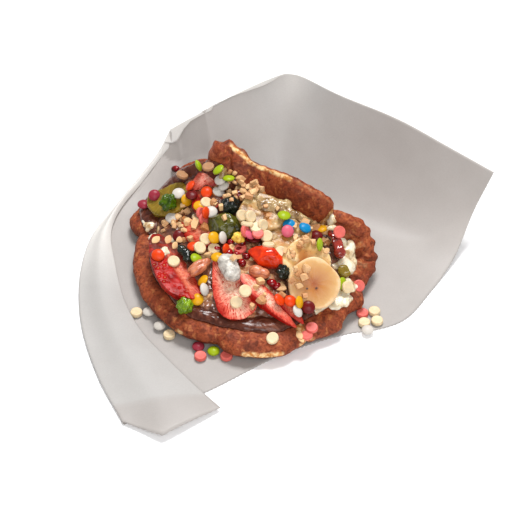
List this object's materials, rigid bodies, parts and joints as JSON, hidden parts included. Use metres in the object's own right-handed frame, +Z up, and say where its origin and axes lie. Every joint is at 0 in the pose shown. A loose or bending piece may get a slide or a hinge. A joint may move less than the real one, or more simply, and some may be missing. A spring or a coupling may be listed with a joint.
{
  "type": "waffle sandwich",
  "caption": "Round waffle of heart-shaped lobes folded into a pocket over spread chocolate, cream and mixed toppings, lying on its opened paper bag.",
  "frame": {"origin": "on the ground, on the underside of the paper, under the middle of the fold", "axes": "+Z up, +Y away from the open mouth of the pocket, +X to the right seen from the open mouth"},
  "size_m": [0.2451, 0.246, 0.0603],
  "materials": {
    "paper": "translucent greaseproof",
    "waffle": "baked",
    "chocolate": "glossy",
    "cream": "satin",
    "topping_mix": "rough",
    "banana": "moist",
    "strawberry": "moist",
    "cherry": "glossy",
    "kiwi": "moist",
    "jelly_dark_red": "glossy",
    "jelly_red": "glossy",
    "jelly_black": "glossy",
    "jelly_green": "glossy",
    "sugar_pebble": "matt",
    "peanut": "satin",
    "candy_white": "satin",
    "candy_beige": "satin",
    "candy_magenta": "satin",
    "candy_pink": "satin",
    "candy_lime": "satin"
  },
  "bodies": {
    "root": {"banana_1": "banana", "banana_2": "banana", "banana_3": "banana", "banana_4": "banana", "banana_chip": "banana", "cherry": "cherry", "chocolate_spread": "chocolate", "fallen_candy_1": "candy_white", "fallen_candy_10": "candy_beige", "fallen_candy_11": "candy_beige", "fallen_candy_12": "candy_beige", "fallen_candy_13": "candy_white", "fallen_candy_2": "candy_beige", "fallen_candy_3": "candy_white", "fallen_candy_4": "candy_beige", "fallen_candy_5": "candy_magenta", "fallen_candy_6": "candy_pink", "fallen_candy_7": "candy_lime", "fallen_candy_8": "candy_pink", "fallen_candy_9": "candy_pink", "jelly_bar": "jelly_dark_red", "jelly_black": "jelly_black", "jelly_black_2": "jelly_black", "jelly_dark_2": "jelly_black", "jelly_green": "jelly_green", "jelly_green_2": "jelly_green", "jelly_green_3": "jelly_green", "jelly_red": "jelly_red", "kiwi_1": "kiwi", "kiwi_2": "kiwi", "paper_wrap": "paper", "peanut_1": "peanut", "peanut_2": "peanut", "pebble": "sugar_pebble", "strawberry_1": "strawberry", "strawberry_2": "strawberry", "strawberry_3": "strawberry", "strawberry_4": "strawberry", "strawberry_5": "strawberry", "strawberry_6": "strawberry", "strawberry_7": "strawberry", "topping_mix": "topping_mix", "waffle": "waffle", "white_cream": "cream"}
  },
  "joints": []
}
